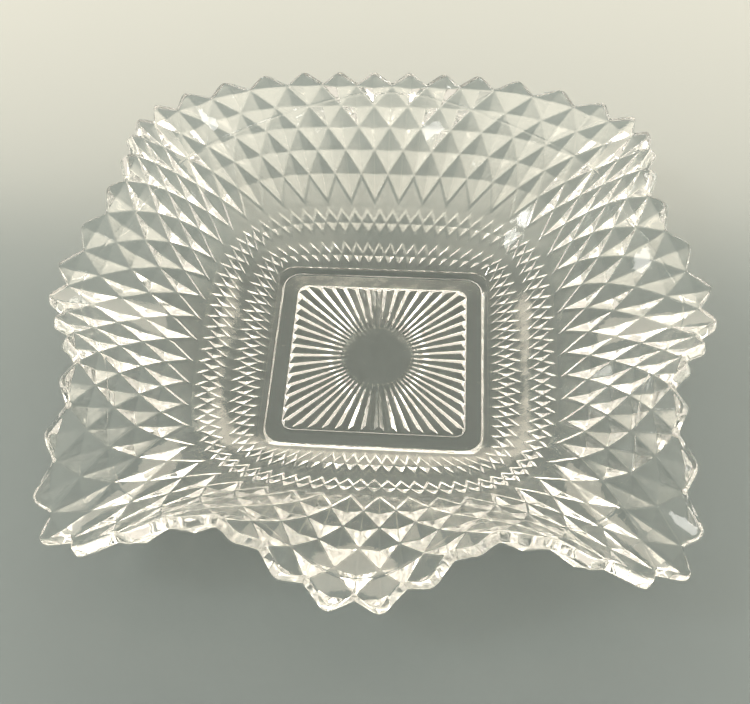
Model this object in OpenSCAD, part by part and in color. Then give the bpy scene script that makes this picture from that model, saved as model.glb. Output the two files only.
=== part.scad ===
// Square ruffled candy dish, pressed in one piece of clear glass.
//
// The inside is smooth. The outside carries the pattern: five rows of big
// diamond-shaped pyramids under a sawtooth rim, two bands of small pyramids
// below them, and a base panel cut into rays round a plain disc. The pyramids
// stand between V grooves, which are sunk a little into the plain glass round
// them. The rim waves eight times, so it dips at the four corners and at the
// middle of each side.
//
// Millimetres, +Z up, origin at the middle of the foot where it meets the table.
// Directions are measured from +X: sides face 0, 90, 180 and 270 degrees.

/* [Rim] */
// Mean distance from the axis to the tips of the teeth
rim_r = 95.6; // [88:0.2:104]
// Mean height of the tips of the teeth above the table
rim_h = 36.8; // [30:0.2:46]
// How far the rim's corners reach out and its sides draw in
rim_corner = 8.6; // [4:0.2:12]
// How much lower the rim's corners hang than its mean height
corner_drop = 1.7; // [0:0.1:4]
// How many of the teeth stand on each side, one corner tooth included
teeth_per_side = 13; // [9:2:15]
// Length of a tooth as a part of one diamond row
tooth_len = 0.56; // [0.4:0.02:0.9]
// How far the fire-polished edge bulges
edge_bulge = 1; // [0.4:0.1:1.6]

/* [Ruffle] */
// Height of the ruffle's waves at the rim, from the mean to a crest
wave_h = 7; // [0:0.2:9]
// How far the rim swings in at a crest and out at a dip
wave_r = 7.4; // [0:0.2:9]
// How late the waves set in up the wall
wave_power = 1.5; // [1:0.1:3]
// How much the wall flattens out toward the rim
flare = 0.41; // [0:0.01:0.7]

/* [Belly] */
// Mean distance from the axis to the belly, where the wall starts to wave
belly_r = 59.2; // [56:0.2:64]
// Mean height of the belly above the table
belly_h = 11.5; // [9:0.1:15]
// How far the belly's corners reach out and its sides draw in
belly_corner = 4.8; // [2:0.2:6]
// How curved the wall is between the foot and the belly
belly_curve = 0.7; // [0.2:0.05:0.9]
// How far the pattern crowds toward the corners, in degrees
corner_pull = 2.4; // [0:0.1:4]

/* [Foot] */
// Width of the square foot
foot_w = 64; // [60:0.5:66]
// Radius of the foot's corners
foot_corner_r = 5.5; // [4:0.5:8]
// Width of the flat ring that the dish rests on
foot_ring_w = 5; // [3.5:0.5:6]
// Width of the square where the foot runs into the wall
foot_top_w = 67.6; // [66.5:0.1:70]
// Height at which the foot runs into the wall
foot_top_h = 2.2; // [1.8:0.1:3]

/* [Base panel] */
// Diameter of the plain disc in the middle
disc_d = 20.6; // [14:0.2:28]
// Height of the disc above the table
panel_h = 1.7; // [1.5:0.1:2]
// How far the rays cut up and stand down at their outer ends
ray_depth = 0.7; // [0.2:0.05:0.8]

/* [Pattern] */
// Rows of big diamonds up the wall
rows = 5; // [3:2:7]
// Height of the big diamonds' points
diamond_h = 2; // [1.6:0.1:2.6]
// Small diamonds on each side of the inner band, one corner diamond included
inner_per_side = 21; // [13:2:25]
// Small diamonds on each side of the outer band, one corner diamond included
outer_per_side = 23; // [13:2:27]
// Height of the small diamonds' points
bead_h = 1; // [0.7:0.1:1.2]
// How far the grooves are sunk into the plain glass round the patterns
plain_h = 0.5; // [0.2:0.05:0.6]

/* [Glass] */
// Thickness of the wall at the bottom of the grooves
wall_t = 3.1; // [2.5:0.1:4]
// Height of the smooth floor above the table
floor_h = 5; // [4.6:0.1:6]

/* [Hidden] */

glass = [0.86, 0.9, 0.9, 0.45];
teeth = 4 * teeth_per_side;
stations = 2 * teeth;
inner_band_n = 4 * inner_per_side;
outer_band_n = 4 * outer_per_side;

// The wall runs from -1 at the foot, through 0 at the belly, to 1 at the tips.
inner_band = [-0.96, -0.49];
outer_band = [-0.43, -0.02];
lattice_from = 0.05;
probe = 0.01;

// The bowl's underside sinks this deep into the foot ring, this far inside its walls.
foot_sunk = 0.5;
foot_lap = 0.43;
foot_step = 1.5;
floor_w = 58;
floor_corner_r = 12;
panel_w = foot_w - 2 * foot_ring_w;
panel_corner_r = foot_corner_r - foot_ring_w / 2;

function mix(a, b, t) = a + (b - a) * t;
function unit(v) = v / norm(v);
function polar(r, a, z) = [r * cos(a), r * sin(a), z];

// Distance from the middle of a rounded square to its edge in direction a
function square_r(a, w, r) =
    let (off_diagonal = abs((a % 90 + 90) % 90 - 45),
         off_side = 45 - off_diagonal,
         straight = w / 2 - r,
         d = straight * sqrt(2))
    tan(off_side) * w / 2 <= straight
        ? w / 2 / cos(off_side)
        : d * cos(off_diagonal) + sqrt(r * r - pow(d * sin(off_diagonal), 2));

// Where an even division of the circle falls once it crowds to the corners
function crowded(a) = a + corner_pull * sin(4 * a);
function on_square(a, w, r, z) = polar(square_r(crowded(a), w, r), crowded(a), z);

// A point at the bottom of the grooves, u up the wall in direction a
function wall(u, a) =
    let (low = min(1, u + 1),
         v = max(0, u),
         wave = pow(v, wave_power) * cos(8 * a),
         r_wall = mix(belly_r, rim_r, v) - mix(belly_corner, rim_corner, v) * cos(4 * a) + wave_r * wave,
         z_wall = mix(belly_h, rim_h, v * (1 + flare) - flare * v * v)
                  + corner_drop * v * cos(4 * a) - wave_h * wave,
         r_foot = square_r(crowded(a), foot_top_w, foot_corner_r),
         rise = low * (1 - belly_curve) + low * low * belly_curve)
    polar(mix(r_foot, r_wall, low), crowded(a), mix(foot_top_h, z_wall, rise));

// The way out of the glass there, and a point that far out (or in, below 0)
function way_out(u, a) =
    unit(cross(wall(u, a + probe) - wall(u, a - probe), wall(u + probe, a) - wall(u - probe, a)));
function raised(u, a, h) = wall(u, a) + h * way_out(u, a);
function edge(u, a) =
    raised(u, a, -wall_t / 2) + edge_bulge * unit(wall(u, a) - wall(u - probe, a));

// A ring of n points, the first one phase of a step on from the corner
function turn(i, n, phase = 0) = 45 + 360 * (i + phase) / n;
function wall_ring(u, n, phase, h) = [for (i = [0:n - 1]) raised(u, turn(i, n, phase), h)];
function square_ring(n, w, r, z) = [for (i = [0:n - 1]) on_square(turn(i, n), w, r, z)];
function rim_u(i) = i % 2 == 0 ? 1 : level(rows);

// The zigzag edge of the plain glass round n pyramids, from their tips to the notches
function border(n, tip, notch) =
    [for (i = [0:2 * n - 1]) raised(i % 2 == 0 ? tip : notch, turn(i, 2 * n), plain_h)];

// Six rings of a band: the edge below it, its lower tips, its crossings, its
// points, its upper tips and the edge above it
function band_rings(band, n) =
    let (reach = plain_h / bead_h,
         u = function (k) mix(band[0], band[1], (k + reach) / (2 + 2 * reach)))
    [border(n, u(-reach), u(1 - reach)),
     wall_ring(u(0), n, 0, 0), wall_ring(u(1), n, 0.5, 0), wall_ring(u(1), n, 0, bead_h),
     wall_ring(u(2), n, 0, 0), border(n, u(2 + reach), u(1 + reach))];

// The level of the big lattice k rows up, whose crossings shift by half a step
function level(k) = mix(lattice_from, 1, min(1, k / (rows + tooth_len)));
function shift(k) = k % 2 / 2;

// The panel's side slopes at 45 degrees, so a deeper groove ends nearer the middle.
function ray_end(i) =
    let (z = panel_h + (i % 2 == 0 ? ray_depth : -ray_depth))
    on_square(turn(i, stations), panel_w + 2 * (foot_lap + foot_sunk - z), panel_corner_r, z);

under_rings = [
    [[0, 0, panel_h]],
    [for (i = [0:stations - 1]) polar(disc_d / 2, crowded(turn(i, stations)), panel_h)],
    [for (i = [0:stations - 1]) ray_end(i)],
    square_ring(stations, panel_w + 2 * foot_lap, panel_corner_r, foot_sunk),
    square_ring(stations, foot_w - 2 * foot_lap, foot_corner_r, foot_sunk),
    wall_ring(-1, stations, 0, 0),
];
lattice_edge = max(level(-plain_h / diamond_h), outer_band[1] + 0.01);
lattice_border = border(teeth, lattice_edge, level(1 - plain_h / diamond_h));
lattice_rings = [for (k = [0:rows + 1]) wall_ring(level(k), teeth, shift(k), 0)];
point_rings = [for (k = [1:rows]) wall_ring(level(k), teeth, shift(k + 1), diamond_h)];
top_rings = [
    [for (i = [0:stations - 1]) edge(rim_u(i), turn(i, stations))],
    [for (i = [0:stations - 1]) raised(rim_u(i), turn(i, stations), -wall_t)],
    for (k = [rows - 1:-1:0]) wall_ring(level(k), stations, 0, -wall_t),
    for (u = [-0.25, -0.5, -0.75, -1]) wall_ring(u, stations, 0, -wall_t),
    square_ring(stations, floor_w, floor_corner_r, floor_h),
    [[0, 0, floor_h]],
];

rings = concat(under_rings, band_rings(inner_band, inner_band_n), band_rings(outer_band, outer_band_n),
               [lattice_border], lattice_rings, point_rings, top_rings);
first = [for (i = 0, n = 0; i <= len(rings); n = n + (i < len(rings) ? len(rings[i]) : 0), i = i + 1) n];
band_at = len(under_rings);
lattice_at = band_at + 13;
point_at = lattice_at + len(lattice_rings);
top_at = point_at + len(point_rings);

// Index of point i of ring k, counted round and round
function at(k, i) = first[k] + (i + len(rings[k])) % len(rings[k]);

// Triangles between two rings whose counts may differ, counted the way the angle grows
function step_on(s, na, nb) = (s[0] + 1) * nb <= (s[1] + 1) * na ? [s[0] + 1, s[1]] : [s[0], s[1] + 1];
function strip(a, b) =
    let (na = len(rings[a]), nb = len(rings[b]))
    [for (s = [0, 0]; s[0] + s[1] < na + nb; s = step_on(s, na, nb))
        step_on(s, na, nb)[0] > s[0]
            ? [at(a, s[0]), at(a, s[0] + 1), at(b, s[1])]
            : [at(a, s[0]), at(b, s[1] + 1), at(b, s[1])]];

// A pyramid on four crossings
function pyramid(top, low, right, high, left) =
    [[top, low, right], [top, right, high], [top, high, left], [top, left, low]];

// The flanks of a zigzag groove between ring k's edge of the plain glass and the
// tips and crossings of the pyramids, below a pattern and above one
function quad(a, b, c, d) = [[a, b, c], [a, c, d]];
function flanks_below(k, tips, crossings) =
    [for (i = [0:len(rings[tips]) - 1]) each concat(
        quad(at(k, 2 * i), at(k, 2 * i + 1), at(crossings, i), at(tips, i)),
        quad(at(k, 2 * i + 1), at(k, 2 * i + 2), at(tips, i + 1), at(crossings, i)))];
function flanks_above(k, tips, crossings) =
    [for (i = [0:len(rings[tips]) - 1]) each concat(
        quad(at(tips, i), at(crossings, i), at(k, 2 * i + 1), at(k, 2 * i)),
        quad(at(crossings, i), at(tips, i + 1), at(k, 2 * i + 2), at(k, 2 * i + 1)))];

// A band: small pyramids side by side between two zigzag grooves
function band_faces(k) = concat(
    flanks_below(k, k + 1, k + 2),
    [for (i = [0:len(rings[k + 1]) - 1])
        each pyramid(at(k + 3, i), at(k + 1, i), at(k + 2, i), at(k + 4, i), at(k + 2, i - 1))],
    flanks_above(k + 5, k + 4, k + 2));

// The big diamonds, with the groove below the lowest row
function lattice_faces() = concat(
    flanks_below(lattice_at - 1, lattice_at, lattice_at + 1),
    [for (k = [1:rows], i = [0:teeth - 1])
        let (r = k % 2 == 1 ? i : i + 1)
        each pyramid(at(point_at + k - 1, i), at(lattice_at + k - 1, i), at(lattice_at + k, r),
                     at(lattice_at + k + 1, i), at(lattice_at + k, r - 1))]);

// The lower half of the rim's edge, from the teeth and valleys to its middle line
function rim_faces() =
    [for (i = [0:teeth - 1])
        let (tip = at(lattice_at + rows + 1, i), dip = at(lattice_at + rows, i),
             next_tip = at(lattice_at + rows + 1, i + 1))
        each [[tip, dip, at(top_at, 2 * i + 1)], [tip, at(top_at, 2 * i + 1), at(top_at, 2 * i)],
              [dip, next_tip, at(top_at, 2 * i + 2)], [dip, at(top_at, 2 * i + 2), at(top_at, 2 * i + 1)]]];

faces = concat(
    [for (k = [0:band_at - 1]) each strip(k, k + 1)],
    band_faces(band_at),
    strip(band_at + 5, band_at + 6),
    band_faces(band_at + 6),
    strip(band_at + 11, band_at + 12),
    lattice_faces(),
    rim_faces(),
    [for (k = [top_at:len(rings) - 2]) each strip(k, k + 1)]);

// A ring of one point makes triangles with no width, which are left out.
module bowl()
    polyhedron([for (r = rings) each r],
               [for (f = faces) if (f[0] != f[1] && f[1] != f[2] && f[2] != f[0]) [f[2], f[1], f[0]]]);

module rounded_square(w, r) {
    square([w, w - 2 * r], center = true);
    square([w - 2 * r, w], center = true);
    for (x = [-1, 1], y = [-1, 1])
        translate([x, y] * (w / 2 - r)) circle(r, $fn = 48);
}

// The flat ring that the dish rests on
module foot_ring()
    linear_extrude(foot_step) difference() {
        rounded_square(foot_w, foot_corner_r);
        rounded_square(panel_w, panel_corner_r);
    }

module dish() color(glass) {
    bowl();
    foot_ring();
}

dish();
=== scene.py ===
"""Square ruffled candy dish of clear pressed glass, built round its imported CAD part.

The dish is one closed mesh. Its profile runs out along the underside, up the patterned
outside, over the fire-polished rim and down the smooth inside. Sizes are in millimetres and
repeat the part's own; points become metres when the mesh is made.
"""

import math

import bpy
import numpy as np
from mathutils import Matrix, Vector


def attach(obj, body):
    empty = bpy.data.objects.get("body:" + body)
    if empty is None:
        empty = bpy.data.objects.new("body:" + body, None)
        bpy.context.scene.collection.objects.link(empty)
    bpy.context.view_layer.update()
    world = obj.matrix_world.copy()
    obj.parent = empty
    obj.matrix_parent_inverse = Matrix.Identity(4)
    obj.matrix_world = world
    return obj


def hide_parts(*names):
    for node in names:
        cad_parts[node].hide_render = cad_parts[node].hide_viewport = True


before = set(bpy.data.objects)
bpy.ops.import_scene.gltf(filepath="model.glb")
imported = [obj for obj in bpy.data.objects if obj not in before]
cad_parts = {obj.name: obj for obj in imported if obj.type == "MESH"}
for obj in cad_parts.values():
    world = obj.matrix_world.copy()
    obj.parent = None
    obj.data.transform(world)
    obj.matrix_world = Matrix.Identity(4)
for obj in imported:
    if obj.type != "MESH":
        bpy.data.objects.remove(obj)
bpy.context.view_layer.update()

MM = 0.001

# ---- sizes of the dish ----
RIM_R, RIM_H = 95.6, 36.8  # of the line midway between the ruffles' tops and bottoms
RIM_CORNER, CORNER_DROP = 8.6, 1.7  # the corners reach this far beyond it and below it
TEETH, TOOTH_LEN = 52, 0.56  # the teeth stand above the top row, in rows
WAVE_R, WAVE_H, WAVE_POWER = 7.4, 7, 1.5  # the ruffles, out and down, and how they grow upward
FLARE = 0.41  # how much more steeply the wall leaves the belly
BELLY_R, BELLY_H, BELLY_CORNER = 59.2, 11.5, 4.8
BELLY_CURVE = 0.7  # how far the bottom of the bowl is from a plain cone
CORNER_PULL = 2.4  # degrees by which the pattern crowds toward the corners
FOOT_W, FOOT_CORNER_R, FOOT_RING_W = 64, 5.5, 5
FOOT_TOP_W, FOOT_TOP_H = 67.6, 2.2  # where the bowl leaves the foot
DISC_R, PANEL_H = 10.3, 1.7  # of the plain disc, and of the panel of rays above the table
RAY_DEPTH, RAY_POWER = 0.7, 0.6  # the rays' height either way, and how it grows outward
ROWS, DIAMOND_H, BEAD_H = 5, 2, 1  # the big pyramids' height and the small ones'
PLAIN_H = 0.5  # of the plain glass over the bottoms of the grooves
INNER_BAND, INNER_N = (-0.96, -0.49), 84  # from where to where up the wall, and how many
OUTER_BAND, OUTER_N = (-0.43, -0.02), 92
LATTICE = (0.05, 0.997)  # up the wall, the teeth a hair short of the part's own
WALL_T, FLOOR_H = 3.1, 5
LEVELS = ROWS + TOOTH_LEN
PANEL_W = FOOT_W - 2 * FOOT_RING_W
PANEL_CORNER_R = FOOT_CORNER_R - FOOT_RING_W / 2

# ---- how the edges are rounded ----
DIAMOND_STEP = (5.75, 8.0)  # half a step round the wall, and one row up it
BEAD_STEP = (1.68, 3.4)
DIAMOND_ROUND, BEAD_ROUND = 0.32, 0.17  # from a facet's flat middle to its edge
CREASE = 0.03  # how much of its height a ridge loses
GROOVE = 0.035  # and a groove gains
FLANK = ((0.12, 0.12), (0.88, 0.88), (1, 0.98), (1.08, 1))  # of a border groove: out and up
MARGIN = 0.03  # between such a groove and the next level ring, in rows
TIP_ROUND = 0.87  # 1 would leave the teeth sharp
TOOTH_FACET = (0.78, 0.76)  # how far round and up the flat middle of a tooth's facet reaches
EDGE_BULGE = (0.5, 0.3)  # of the rim's edge, in a valley and on a tip
OUTLINE_STEPS = 10  # along each flank of a tooth
EDGE_STEPS = 8  # across the rim's edge
RAY_POINTS = (0, 0.16, 0.84)  # in half rays, so that each ridge and groove has three
RAY_BLUNT = 0.04  # how much of their height their edges lose
KEY_GRID = 1e5  # points of a lattice are told apart to this part of a step

# ---- the inside ----
INSIDE_N, WALL_RINGS = 520, 47  # points in a ring, and rings from the mould's line to the floor
INSIDE_TOP = 0.85  # the teeth's own rows end here
FLOOR_EDGE = 0.15  # how much narrower the flat floor is than the foot of the wall
SEAM_H, SEAM_W = 0.12, 0.3  # the fine line that the mould left round the inside
WALL_LENGTH = 45  # about, from the belly up to a tip
SEAM_U, SEAM_SWING = 0.68, 0.135  # where it runs, nearer the rim on the sides than in the corners

# ---- the glass and the studio ----
GLASS_COLOUR, GLASS_IOR, GLASS_ROUGHNESS = (0.965, 0.98, 0.97, 1), 1.5, (0.005, 0.035)
ROOM_COLOUR, ROOM_LIGHT = (1, 0.935, 0.83, 1), 0.76
FLOOR_COLOUR, FLOOR_ROUGHNESS, FLOOR_IOR = (0.3, 0.35, 0.365, 1), 0.2, 1.7
FLOOR_HALF, FLOOR_GAP = 4, 0.00005  # metres
CAMERA_AT, CAMERA_LENS, CAMERA_SHIFT = (13.4, -182.4, 264), 49.7, 0.04
PAN, TILT, LEAN = 7.31, 54.68, -3.62  # degrees to the left, below level and anticlockwise
BOUNCES, EXPOSURE = 24, -0.25


def cosd(a):
    return np.cos(np.radians(a))


def sind(a):
    return np.sin(np.radians(a))


def mix(a, b, t):
    return a + (b - a) * t


def unit(v):
    return v / np.linalg.norm(v, axis=-1, keepdims=True)


def polar(r, a, z):
    r, a, z = np.broadcast_arrays(r, a, z)
    return np.stack([r * cosd(a), r * sind(a), z], -1).astype(float)


def square_r(a, w, r):
    """Distance from the middle of a rounded square to its edge in direction a."""
    off_diagonal = np.abs(a % 90 - 45)
    off_side = 45 - off_diagonal
    straight = w / 2 - r
    d = straight * math.sqrt(2)
    round_part = np.sqrt(np.maximum(r * r - (d * sind(off_diagonal)) ** 2, 0))
    on_side = sind(off_side) * w / 2 <= straight * cosd(off_side)
    return np.where(on_side, w / 2 / cosd(off_side), d * cosd(off_diagonal) + round_part)


def turn(s, n):
    """Direction of step s of n, counted from a corner."""
    return 45 + 360 * np.asarray(s, float) / n


def crowded(a):
    return a + CORNER_PULL * sind(4 * a)


def on_square(a, w, r, z):
    return polar(square_r(crowded(a), w, r), crowded(a), z)


def wall(u, a):
    """A point at the bottom of the grooves: u is -1 at the foot, 0 at the belly, 1 at the tips."""
    low = np.minimum(1, u + 1)
    v = np.maximum(0, u)
    square = cosd(4 * a)
    wave = v**WAVE_POWER * cosd(8 * a)
    r_wall = mix(BELLY_R, RIM_R, v) - mix(BELLY_CORNER, RIM_CORNER, v) * square + WAVE_R * wave
    climb = v * (1 + FLARE) - FLARE * v * v
    z_wall = mix(BELLY_H, RIM_H, climb) + CORNER_DROP * v * square - WAVE_H * wave
    r_foot = square_r(crowded(a), FOOT_TOP_W, FOOT_CORNER_R)
    rise = low * (1 - BELLY_CURVE) + low * low * BELLY_CURVE
    return polar(mix(r_foot, r_wall, low), crowded(a), mix(FOOT_TOP_H, z_wall, rise))


def way_out(u, a, probe=0.01):
    round_wall = wall(u, a + probe) - wall(u, a - probe)
    up_wall = wall(u + probe, a) - wall(u - probe, a)
    return unit(np.cross(round_wall, up_wall))


def level(k):
    """How far up the wall row k of the big diamonds is."""
    return mix(*LATTICE, k / LEVELS)


def raised(u, a, h):
    return wall(u, a) + np.asarray(h, float)[..., None] * way_out(u, a)


def zigzag(p):
    """0 at even numbers and 1 at odd ones, with the bottoms slightly rounded."""
    return np.hypot(np.abs((p + 1) % 2 - 1), GROOVE)


def relief(s, k):
    """Height of a lattice of pyramids, 0 to 1: crossings where 2s + k is even, points between."""
    right, left = zigzag(2 * s + k), zigzag(2 * s - k)
    return (right + left) / 2 - np.hypot((right - left) / 2, CREASE)


def tooth(x):
    """Outline of a tooth from its tip, x = 0, to the valley, x = 1, both rounded."""
    return (1 + np.arcsin(TIP_ROUND * np.cos(np.pi * x)) / math.asin(TIP_ROUND)) / 2


class Skin:
    """The points and faces of the mesh. Its rings follow the profile and run anticlockwise."""

    def __init__(self):
        self.points, self.faces = [], []

    def add(self, points):
        first = len(self.points)
        self.points.extend(np.reshape(points, (-1, 3)))
        return np.arange(first, len(self.points))

    def strip(self, low, high):
        """Faces between two rings that start in the same direction."""
        if len(low) == len(high):
            for i in range(len(low)):
                j = (i + 1) % len(low)
                self.faces.append((low[i], low[j], high[j], high[i]))
            return
        i = j = 0
        while i + j < len(low) + len(high):
            here, there = low[i % len(low)], high[j % len(high)]
            if (i + 1) * len(high) <= (j + 1) * len(low):
                self.faces.append((here, low[(i + 1) % len(low)], there))
                i += 1
            else:
                self.faces.append((here, high[(j + 1) % len(high)], there))
                j += 1

    def follow(self, ring, rings):
        """Adds rings of points one after another and returns the last."""
        for points in rings:
            new = self.add(points)
            self.strip(ring, new)
            ring = new
        return ring


class Lattice:
    """Facets between the crossings of n steps round the wall, each a flat triangle with a
    narrow strip along each side and a patch in each corner, so that its edges are rounded."""

    def __init__(self, n, step, rounding):
        self.n, self.at, self.faces = n, {}, []
        across, up = step
        slope = math.hypot(across, up)
        inset = rounding / ((across + up - slope) / 2)
        self.x, self.y = rounding / across, rounding / up
        self.far_x, self.far_y = 1 - inset + self.x, 1 - inset + self.y
        far = self.far = ((1 - self.far_x) * across + (1 - self.far_y) * up) / 2 / slope
        self.groove = [(0, 1), (far, 1 - far), (1 - far, far), (1, 0)]

    def key(self, s, k):
        return round(s * KEY_GRID) % round(self.n * KEY_GRID), round(k * KEY_GRID)

    def point(self, s, k):
        return self.at.setdefault(self.key(s, k), len(self.at))

    def face(self, corners, points, turned):
        a, b, c = corners
        made = [self.point(*(a + x * (b - a) + y * (c - a))) for x, y in points]
        self.faces.append(made[::-1] if turned else made)

    def facet(self, a, b, c):
        """A facet whose right angle is at a, with b beside it and c above or below it."""
        corners = [np.array(p, float) for p in (a, b, c)]
        x, y, far_x, far_y, far = self.x, self.y, self.far_x, self.far_y, self.far
        turned = (b[0] - a[0]) * (c[1] - a[1]) < 0
        for points in (
            [(x, y), (far_x, y), (x, far_y)],
            [(x, 0), (far_x, 0), (far_x, y), (x, y)],
            [(1 - far, far), (far, 1 - far), (x, far_y), (far_x, y)],
            [(0, far_y), (0, y), (x, y), (x, far_y)],
            [(0, 0), (x, 0), (x, y), (0, y)],
            [(1, 0), (1 - far, far), (far_x, y), (far_x, 0)],
            [(0, 1), (0, far_y), (x, far_y), (far, 1 - far)],
        ):
            self.face(corners, points, turned)

    def pyramids(self, k, halves=(-1, 1)):
        """A ring of pyramids with their points at height k: their lower halves, upper or both."""
        first = 0 if k % 2 else 0.5
        for s in first + np.arange(self.n):
            for side in (-1, 1):
                for half in halves:
                    self.facet((s, k), (s + side / 2, k), (s, k + half))

    def teeth(self, k, tall, flank):
        """The teeth: flank gives the outline from a tip to a valley."""
        x, y, low_x, high_y = self.x, self.y / tall, *TOOTH_FACET
        middle = len(flank) // 2
        for i in range(self.n):
            for side in (-1, 1):
                corners = [np.array(p, float) for p in ((i, k), (i + side / 2, k), (i, k + tall))]
                b, c = (low_x, y), (x, high_y)
                fans = [[flank[j], flank[j - 1], b] for j in range(len(flank) - 1, middle, -1)]
                fans += [[flank[j], flank[j - 1], c] for j in range(middle, 0, -1)]
                for points in [
                    [(x, y), b, c],
                    [(x, 0), (self.far_x, 0), b, (x, y)],
                    [(0, high_y), (0, y), (x, y), c],
                    [(0, 0), (x, 0), (x, y), (0, y)],
                    [(self.far_x, 0), (1, 0), b],
                    [flank[middle], c, b],
                    [flank[0], (0, high_y), c],
                ] + fans:
                    self.face(corners, points, side < 0)

    def build(self, skin, place):
        """Puts the points where place(s, k) says."""
        s, k = np.array(list(self.at), float).T / KEY_GRID
        self.numbers = skin.add(place(s, k))
        skin.faces.extend([self.numbers[i] for i in face] for face in self.faces)

    def ring(self, s, k):
        return np.array([self.numbers[self.at[self.key(*at)]] for at in zip(s, k)])


def outline(n, flank):
    """Where the points of a ring of teeth are, in steps, and how far up their tooth they are."""
    x, y = np.array(flank).T
    offset, up = np.concatenate([x, -x[1:-1]]) / 2, np.concatenate([y, y[1:-1]])
    s = np.round(np.arange(n)[:, None] + offset, 9).ravel() % n
    order = np.argsort(s)
    return s[order], np.tile(up, n)[order]


# ---- the underside ----


def ray_steps():
    """Where the points of the rays' rings are, in half rays."""
    return np.add.outer(np.arange(2 * TEETH), RAY_POINTS).ravel()


def ray_ring(t):
    """A ring of the rays, t of the way from the disc to the panel's edge."""
    s = ray_steps()
    up = np.abs(1 - s % 2)
    z = PANEL_H + RAY_DEPTH * t**RAY_POWER * (2 * np.clip(up, RAY_BLUNT, 1 - RAY_BLUNT) - 1)
    a = turn(s, 2 * TEETH)
    outer = on_square(a, PANEL_W + 2 * (1 - z), PANEL_CORNER_R, z)
    inner = polar(DISC_R, crowded(a), z)
    return mix(inner, outer, t) * [1, 1, 0] + np.stack([0 * z, 0 * z, z], -1)


def underside(skin):
    """Disc, rays, panel side and foot ring, out to the bottom of the wall."""
    a = turn(ray_steps(), 2 * TEETH)
    middle = skin.add([[0, 0, PANEL_H]])
    ring = skin.add(polar(DISC_R * 0.3, crowded(a), PANEL_H))
    skin.faces.extend((middle[0], ring[(i + 1) % len(a)], ring[i]) for i in range(len(a)))
    ring = skin.follow(ring, [polar(DISC_R * t, crowded(a), PANEL_H) for t in (0.7, 0.98)])
    ring = skin.follow(ring, [ray_ring(t) for t in (0, 0.02, 0.06, 0.14, 0.3, 0.6, 0.98, 1)])
    for out, z in ((0.1, 0.95), (0, 0.85), (0, 0.3), (0.16, 0.09), (0.55, 0)):
        ring = skin.follow(ring, [on_square(a, PANEL_W + out, PANEL_CORNER_R, z)])
    for out, z in ((-0.55, 0), (-0.16, 0.09), (0, 0.3), (0, 0.75), (0.3, 0.98)):
        ring = skin.follow(ring, [on_square(a, FOOT_W + out, FOOT_CORNER_R, z)])
    top = on_square(a, FOOT_TOP_W - 0.5, FOOT_CORNER_R, FOOT_TOP_H - 0.2)
    return skin.follow(ring, [top, wall(-0.995, a)])


# ---- the patterned outside ----


def border(s, k, n, way, reach, up_wall):
    """Rings from the zigzag groove round a pattern, at s and k, up the groove's outer flank and
    over the plain glass to a level ring: downward if way is -1, upward if it is 1."""
    tip = way * max(way * k)
    foot = k + way * reach * FLANK[-1][0]
    level_ring = tip + way * (reach * FLANK[-1][0] + MARGIN)
    rows = [(k + way * reach * out, h) for out, h in FLANK]
    rows += [(mix(foot, level_ring, t), 1) for t in (0.25, 0.5, 0.75, 1)]
    return [raised(up_wall(at), turn(s, n), np.full(len(s), h * PLAIN_H)) for at, h in rows]


def band(skin, ring, span, n):
    """A ring of small pyramids between two zigzag grooves."""
    lattice = Lattice(n, BEAD_STEP, BEAD_ROUND)
    lattice.pyramids(1)
    reach = PLAIN_H / BEAD_H

    def up_wall(k):
        return mix(*span, (k + reach) / (2 + 2 * reach))

    lattice.build(skin, lambda s, k: raised(up_wall(k), turn(s, n), BEAD_H * relief(s, k)))
    s, out = outline(n, lattice.groove)
    below = border(s, 1 - out, n, -1, reach, up_wall)
    skin.strip(skin.follow(ring, below[::-1]), lattice.ring(s, 1 - out))
    return skin.follow(lattice.ring(s, 1 + out), border(s, 1 + out, n, 1, reach, up_wall))


def flank():
    """Points along a tooth's outline, close together at the tip and in the valley."""
    x = (1 - np.cos(np.pi * np.arange(OUTLINE_STEPS + 1) / OUTLINE_STEPS)) / 2
    return [(float(t), float(tooth(t))) for t in x]


def diamond_place(s, k):
    in_row = np.where(k > ROWS, ROWS + (k - ROWS) / TOOTH_LEN, k)
    return raised(level(k), turn(s, TEETH), DIAMOND_H * relief(s, in_row))


def diamonds(skin, ring):
    """The big diamonds and the teeth. Returns the ring of the rim's outline and where it runs."""
    lattice = Lattice(TEETH, DIAMOND_STEP, DIAMOND_ROUND)
    for k in range(1, ROWS):
        lattice.pyramids(k)
    lattice.pyramids(ROWS, [-1])
    lattice.teeth(ROWS, TOOTH_LEN, flank())
    lattice.build(skin, diamond_place)
    s, out = outline(TEETH, lattice.groove)
    below = border(s, 1 - out, TEETH, -1, PLAIN_H / DIAMOND_H, level)
    skin.strip(skin.follow(ring, below[::-1]), lattice.ring(s, 1 - out))
    s, up = outline(TEETH, flank())
    k = ROWS + TOOTH_LEN * up
    return lattice.ring(s, k), s, k


# ---- the rim and the inside ----


def rim_edge(skin, ring, s, k):
    """The fire-polished edge, a low arch from the outline to the inside."""
    u, a = level(k), turn(s, TEETH)
    outside = np.array([skin.points[i] for i in ring])
    middle = (outside + raised(u, a, np.full(len(s), -WALL_T))) / 2
    along = np.roll(outside, -1, 0) - np.roll(outside, 1, 0)
    up = unit(np.cross(way_out(u, a), along))
    bulge = mix(*EDGE_BULGE, (k - ROWS) / TOOTH_LEN)[:, None]
    arch = [math.pi * j / EDGE_STEPS for j in range(1, EDGE_STEPS + 1)]
    return skin.follow(
        ring, [middle + math.cos(t) * (outside - middle) + math.sin(t) * bulge * up for t in arch]
    )


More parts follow.
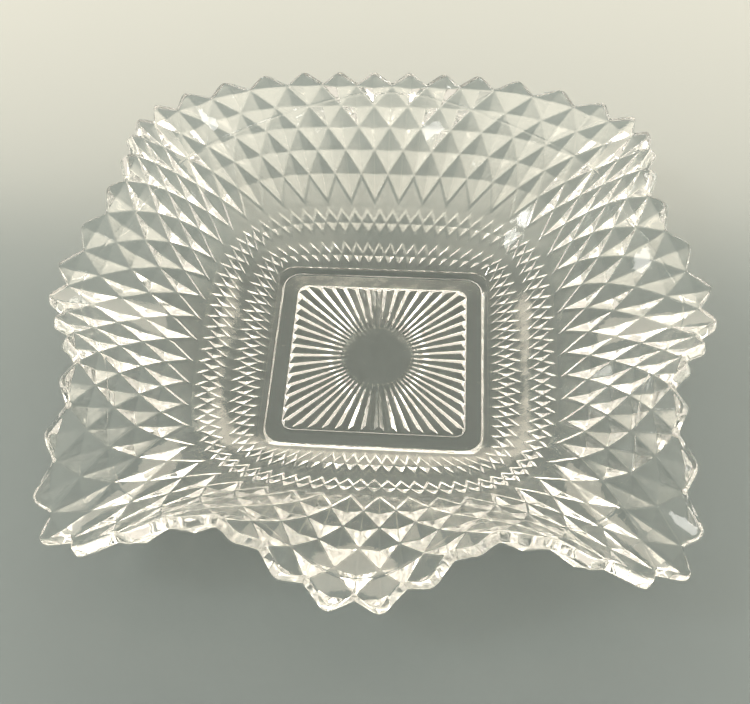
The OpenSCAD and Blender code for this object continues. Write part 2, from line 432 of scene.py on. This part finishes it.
def seam_rows(a):
    """Heights up the wall and the mould line's bulge there, from the teeth down to the floor."""
    seam = SEAM_U + SEAM_SWING * cosd(4 * a)
    half = 2 * SEAM_W / WALL_LENGTH
    rows = [(mix(INSIDE_TOP, seam + half, t), 0) for t in np.linspace(0.08, 0.92, 9)]
    rows += [(seam + half * t, math.exp(-5 * t * t)) for t in np.linspace(1, -1, 9)]
    return rows + [(mix(seam - half, -1, t), 0) for t in np.linspace(0, 1, WALL_RINGS + 1)[1:]]


def inside_wall(skin, ring, s, k):
    """The smooth inside, from the rim down to the edge of the floor."""
    rows = [mix(level(k), INSIDE_TOP, t) for t in (0.12, 0.4, 0.7, 1)]
    ring = skin.follow(ring, [raised(u, turn(s, TEETH), np.full(len(s), -WALL_T)) for u in rows])
    a = turn(np.arange(INSIDE_N), INSIDE_N)
    for u, bulge in seam_rows(a):
        ring = skin.follow(ring, [raised(u, a, np.full(len(a), -SEAM_H * bulge - WALL_T))])
    return ring


def inside_floor(skin, ring):
    """The floor, which curves in from the wall and is flat in the middle."""
    edge = np.array([skin.points[i] for i in ring])
    for t in (0.25, 0.5, 0.75, 1):
        points = edge * [1 - FLOOR_EDGE * t, 1 - FLOOR_EDGE * t, 1]
        points[:, 2] = mix(FLOOR_H, edge[:, 2], (1 - t) ** 2)
        ring = skin.follow(ring, [points])
    ring = skin.follow(ring, [points * [t, t, 1] for t in (0.75, 0.5, 0.25)])
    middle = skin.add([[0, 0, FLOOR_H]])[0]
    skin.faces.extend((ring[i], ring[(i + 1) % len(ring)], middle) for i in range(len(ring)))


def build_dish():
    skin = Skin()
    ring = underside(skin)
    ring = band(skin, ring, INNER_BAND, INNER_N)
    ring = band(skin, ring, OUTER_BAND, OUTER_N)
    ring, s, k = diamonds(skin, ring)
    ring = rim_edge(skin, ring, s, k)
    inside_floor(skin, inside_wall(skin, ring, s, k))
    mesh = bpy.data.meshes.new("dish_glass")
    faces = [[int(i) for i in face] for face in skin.faces]
    mesh.from_pydata((np.array(skin.points) * MM).tolist(), [], faces)
    mesh.validate()
    mesh.shade_smooth()
    dish = bpy.data.objects.new("dish_glass", mesh)
    bpy.context.scene.collection.objects.link(dish)
    flat = dish.modifiers.new("flat_facets", "WEIGHTED_NORMAL")
    flat.mode, flat.weight = "FACE_AREA", 80
    return dish


# ---- materials ----


def node(tree, kind, inputs=()):
    made = tree.nodes.new(kind)
    for name, value in dict(inputs).items():
        made.inputs[name].default_value = value
    return made


def ramp(tree, start, end):
    ranges = {"From Min": start[0], "From Max": start[1], "To Min": end[0], "To Max": end[1]}
    return node(tree, "ShaderNodeMapRange", ranges)


def glass_textures(tree):
    """Long waves, a fine skin and scattered seeds."""
    waves = node(tree, "ShaderNodeTexNoise", {"Scale": 130, "Detail": 2})
    skin = node(tree, "ShaderNodeTexNoise", {"Scale": 1400, "Detail": 3})
    seeds = node(tree, "ShaderNodeTexVoronoi", {"Scale": 260, "Randomness": 1})
    place = node(tree, "ShaderNodeTexCoord").outputs["Object"]
    for texture in (waves, skin, seeds):
        tree.links.new(place, texture.inputs["Vector"])
    spots = ramp(tree, (0.03, 0.1), (1, 0))
    tree.links.new(seeds.outputs["Distance"], spots.inputs["Value"])
    return waves.outputs["Fac"], skin.outputs["Fac"], spots.outputs["Result"]


def bumps(tree, heights, strengths, depths):
    """One bump laid over another. Returns the normal of the last."""
    normal = None
    for height, strength, depth in zip(heights, strengths, depths):
        bump = node(tree, "ShaderNodeBump", {"Strength": strength, "Distance": depth})
        tree.links.new(height, bump.inputs["Height"])
        if normal:
            tree.links.new(normal, bump.inputs["Normal"])
        normal = bump.outputs["Normal"]
    return normal


def glass_material():
    """Clear pressed glass: slightly wavy, with a fine skin, faint seeds and a trace of green."""
    material = bpy.data.materials.new("clear_pressed_glass")
    material.use_nodes = True
    tree = material.node_tree
    tree.nodes.clear()
    link = tree.links.new
    look = {"Base Color": GLASS_COLOUR, "IOR": GLASS_IOR, "Transmission Weight": 1}
    glass = node(tree, "ShaderNodeBsdfPrincipled", look)
    waves, skin, spots = glass_textures(tree)
    normal = bumps(tree, (waves, skin, spots), (0.25, 0.12, 0.3), (0.0006, 0.00008, 0.0001))
    worn = ramp(tree, (0.35, 0.7), GLASS_ROUGHNESS)
    link(skin, worn.inputs["Value"])
    link(worn.outputs["Result"], glass.inputs["Roughness"])
    link(normal, glass.inputs["Normal"])
    out = node(tree, "ShaderNodeOutputMaterial")
    link(glass.outputs["BSDF"], out.inputs["Surface"])
    return material


def floor_material():
    material = bpy.data.materials.new("pale_floor")
    material.use_nodes = True
    tree = material.node_tree
    paper = tree.nodes["Principled BSDF"]
    paper.inputs["Base Color"].default_value = FLOOR_COLOUR
    paper.inputs["Roughness"].default_value = FLOOR_ROUGHNESS
    paper.inputs["IOR"].default_value = FLOOR_IOR
    grain = node(tree, "ShaderNodeTexNoise", {"Scale": 900, "Detail": 4})
    normal = bumps(tree, [grain.outputs["Fac"]], [0.05], [0.0002])
    tree.links.new(normal, paper.inputs["Normal"])
    return material


# ---- the scene ----


def stage_floor():
    mesh = bpy.data.meshes.new("floor")
    corners = [(x * FLOOR_HALF, y * FLOOR_HALF, 0) for x, y in ((-1, -1), (1, -1), (1, 1), (-1, 1))]
    mesh.from_pydata(corners, [], [(0, 1, 2, 3)])
    mesh.materials.append(floor_material())
    floor = bpy.data.objects.new("floor", mesh)
    floor.location.z = -FLOOR_GAP
    bpy.context.scene.collection.objects.link(floor)


def softbox(name, place, size, power, colour):
    """A rectangle of light aimed at the middle of the dish."""
    light = bpy.data.lights.new(name, "AREA")
    light.shape, light.size, light.size_y = "RECTANGLE", size[0], size[1]
    light.energy, light.color = power, colour
    lamp = bpy.data.objects.new(name, light)
    lamp.location = place
    lamp.rotation_mode = "QUATERNION"
    lamp.rotation_quaternion = (Vector((0, 0, 0)) - Vector(place)).to_track_quat("-Z", "Y")
    lamp.visible_camera = False
    bpy.context.scene.collection.objects.link(lamp)


def room():
    """Warm light from all around."""
    world = bpy.data.worlds.new("studio")
    world.use_nodes = True
    world.node_tree.nodes["Background"].inputs["Color"].default_value = ROOM_COLOUR
    world.node_tree.nodes["Background"].inputs["Strength"].default_value = ROOM_LIGHT
    bpy.context.scene.world = world


def lights():
    """Room light, a broad warm panel low behind the dish, whose sheen on the floor the lower
    facets of the rear wall pick up, and a small softbox high on the left."""
    room()
    softbox("back_panel", (0, 1.5, 1.0), (2.8, 0.8), 22, (1, 0.88, 0.72))
    softbox("key", (-1.2, -0.3, 1.6), (0.4, 0.4), 3.2, (1, 0.98, 0.95))


def camera():
    """The camera stands high in front of the dish, slightly to its right, and leans a little."""
    lens = bpy.data.cameras.new("camera")
    lens.lens, lens.sensor_width, lens.sensor_fit = CAMERA_LENS, 36, "HORIZONTAL"
    lens.shift_x = CAMERA_SHIFT
    pan, tilt, lean = (math.radians(a) for a in (PAN, TILT, LEAN))
    aim = Matrix.Rotation(pan, 4, "Z") @ Matrix.Rotation(math.pi / 2 - tilt, 4, "X")
    view = bpy.data.objects.new("camera", lens)
    place = Matrix.Translation(Vector(CAMERA_AT) * MM)
    view.matrix_world = place @ aim @ Matrix.Rotation(lean, 4, "Z")
    bpy.context.scene.collection.objects.link(view)
    bpy.context.scene.camera = view


def render_depth():
    """Light crosses many facets before it leaves the glass."""
    cycles = bpy.context.scene.cycles
    cycles.max_bounces = cycles.transmission_bounces = cycles.glossy_bounces = BOUNCES


def film():
    view = bpy.context.scene.view_settings
    view.view_transform, view.look, view.exposure = "Standard", "High Contrast", EXPOSURE


dish = build_dish()
dish.data.materials.append(glass_material())
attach(dish, "root")
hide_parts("dish")

stage_floor()
lights()
camera()
render_depth()
film()
